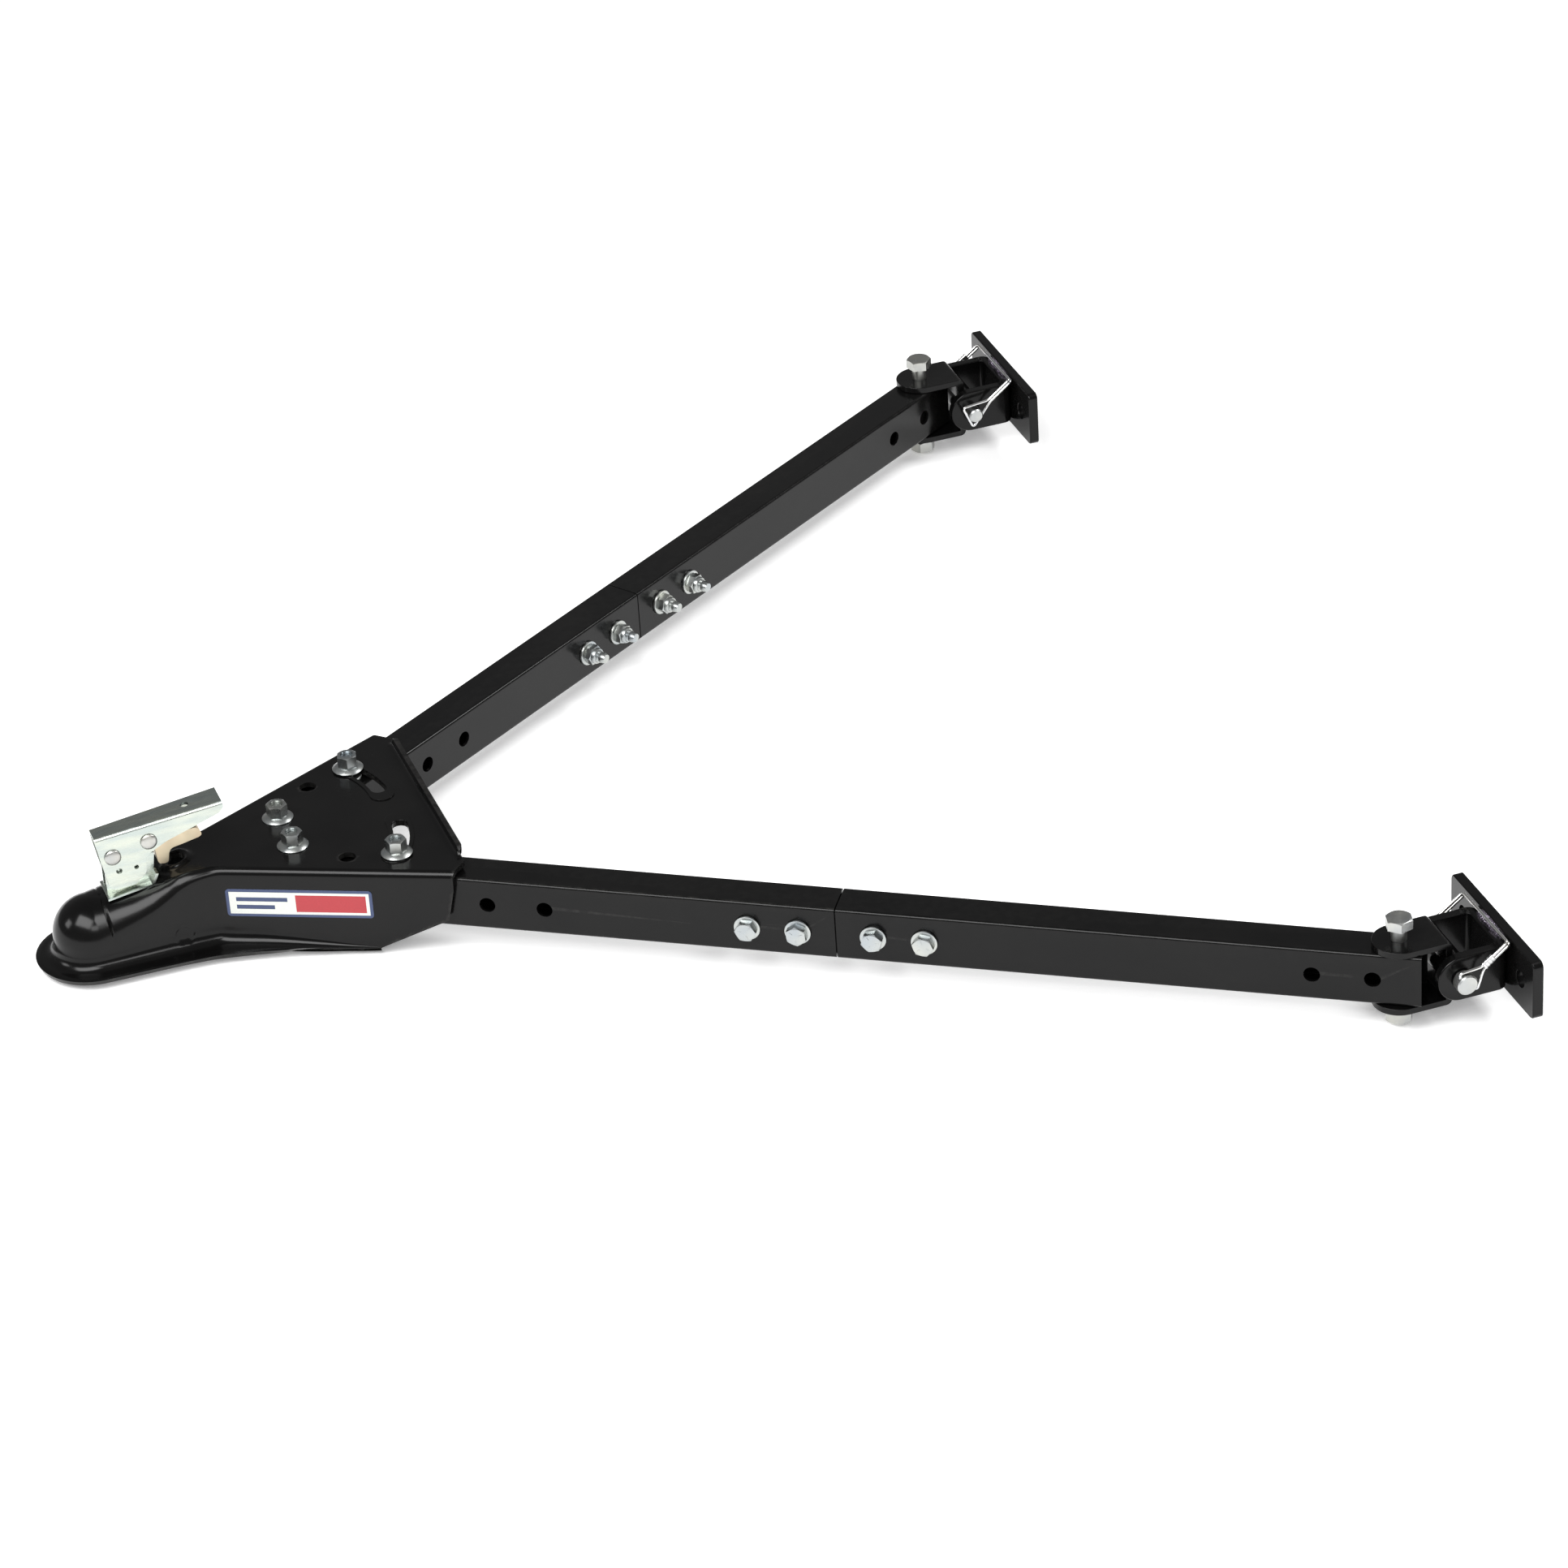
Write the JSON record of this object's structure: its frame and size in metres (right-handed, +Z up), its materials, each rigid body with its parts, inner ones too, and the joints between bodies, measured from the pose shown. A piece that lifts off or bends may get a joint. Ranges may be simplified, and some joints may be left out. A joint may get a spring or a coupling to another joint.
{
  "type": "tow bar",
  "caption": "A-frame tow bar with a ball coupler, two folding spliced tube arms and a pinned bolt-on bracket on each arm.",
  "frame": {"origin": "centre of the ball in the coupler's socket", "axes": "+X back to the towed vehicle, +Y to its right, +Z up"},
  "size_m": [0.9799, 1.0994, 0.12],
  "materials": {
    "black_coat": "semi-gloss black powder coat",
    "zinc": "bright zinc plate",
    "latch_zinc": "clear zinc plate",
    "trigger_zinc": "yellow zinc plate",
    "rivet_steel": "satin rivet heads",
    "grey_steel": "satin zinc",
    "spring_steel": "drawn wire",
    "cast_clamp": "cast",
    "weld": "glossy coat over a rippled weld",
    "wire": "bright zinc wire",
    "label": "printed sticker, no lettering"
  },
  "bodies": {
    "coupler": {"coupler_body": "black_coat", "pivot_bolts": "zinc", "pivot_nuts": "zinc", "pivot_washers": "zinc", "pivot_spacers": "zinc", "side_label": "label", "latch_bracket": "latch_zinc", "lever_rivet": "rivet_steel", "clamp_spring": "spring_steel"},
    "ball_jaw": {"ball_clamp": "cast_clamp", "clamp_stem": "zinc", "clamp_nut": "zinc"},
    "lever": {"latch_lever": "latch_zinc", "trigger_rivet": "rivet_steel"},
    "trigger": {"latch_trigger": "trigger_zinc"},
    "left_arm": {"left_front_tube": "black_coat", "left_rear_tube": "black_coat", "left_splice_sleeve": "black_coat", "left_splice_bolts": "zinc", "left_splice_washers": "zinc", "left_splice_nuts": "zinc", "left_slot_bolt": "zinc", "left_slot_spacer": "zinc", "left_slot_washer": "zinc", "left_slot_nut": "zinc", "left_yoke_bolt": "grey_steel", "left_yoke_nut": "grey_steel"},
    "left_yoke": {"left_yoke_upper_strap": "black_coat", "left_yoke_lower_strap": "black_coat", "left_yoke_barrel": "black_coat"},
    "left_bracket": {"left_clevis": "black_coat", "left_bumper_plate": "black_coat", "left_clevis_weld": "weld"},
    "left_pin": {"left_hitch_pin": "grey_steel", "left_pin_bail": "wire", "left_bail_sleeve": "wire"},
    "right_arm": {"right_front_tube": "black_coat", "right_rear_tube": "black_coat", "right_splice_sleeve": "black_coat", "right_splice_bolts": "zinc", "right_splice_washers": "zinc", "right_splice_nuts": "zinc", "right_slot_bolt": "zinc", "right_slot_spacer": "zinc", "right_slot_washer": "zinc", "right_slot_nut": "zinc", "right_yoke_bolt": "grey_steel", "right_yoke_nut": "grey_steel"},
    "right_yoke": {"right_yoke_upper_strap": "black_coat", "right_yoke_lower_strap": "black_coat", "right_yoke_barrel": "black_coat"},
    "right_bracket": {"right_clevis": "black_coat", "right_bumper_plate": "black_coat", "right_clevis_weld": "weld"},
    "right_pin": {"right_hitch_pin": "grey_steel", "right_pin_bail": "wire", "right_bail_sleeve": "wire"}
  },
  "joints": [
    {"name": "left_arm_swing", "type": "hinge", "parent": "coupler", "child": "left_arm", "pos_m": [0.156, -0.0215, 0.018], "axis": [0, 0, 1], "range_deg": [0, 28]},
    {"name": "left_yoke_swivel", "type": "hinge", "parent": "left_arm", "child": "left_yoke", "pos_m": [0.85393, -0.4817, 0.018], "axis": [0, 0, -1], "range_deg": [-55, 90]},
    {"name": "left_bracket_tilt", "type": "hinge", "parent": "left_yoke", "child": "left_bracket", "pos_m": [0.88993, -0.4817, 0.018], "axis": [0, -1, 0], "range_deg": [-80, 80]},
    {"name": "left_pin_turn", "type": "hinge", "parent": "left_bracket", "child": "left_pin", "pos_m": [0.88993, -0.4817, 0.018], "axis": [0, 1, 0], "range_deg": [-65, 0]},
    {"name": "right_arm_swing", "type": "hinge", "parent": "coupler", "child": "right_arm", "pos_m": [0.156, 0.0215, 0.018], "axis": [0, 0, -1], "range_deg": [0, 28]},
    {"name": "right_yoke_swivel", "type": "hinge", "parent": "right_arm", "child": "right_yoke", "pos_m": [0.85393, 0.4817, 0.018], "axis": [0, 0, 1], "range_deg": [-55, 90]},
    {"name": "right_bracket_tilt", "type": "hinge", "parent": "right_yoke", "child": "right_bracket", "pos_m": [0.88993, 0.4817, 0.018], "axis": [0, -1, 0], "range_deg": [-80, 80]},
    {"name": "right_pin_turn", "type": "hinge", "parent": "right_bracket", "child": "right_pin", "pos_m": [0.88993, 0.4817, 0.018], "axis": [0, 1, 0], "range_deg": [-65, 0]},
    {"name": "latch_lever_lift", "type": "hinge", "parent": "coupler", "child": "lever", "pos_m": [0.0216, 0, 0.0649], "axis": [0, -1, 0], "range_deg": [0, 70]},
    {"name": "trigger_squeeze", "type": "hinge", "parent": "lever", "child": "trigger", "pos_m": [0.0499, 0, 0.072], "axis": [0, -1, 0], "range_deg": [0, 12]},
    {"name": "ball_clamp_drop", "type": "slide", "parent": "coupler", "child": "ball_jaw", "axis": [0, 0, -1], "range_m": [0, 0.006], "deforming": ["clamp_spring"]}
  ],
  "couplings": [
    {"joint": "ball_clamp_drop", "follows": "latch_lever_lift", "m_per_rad": 0.0048}
  ]
}
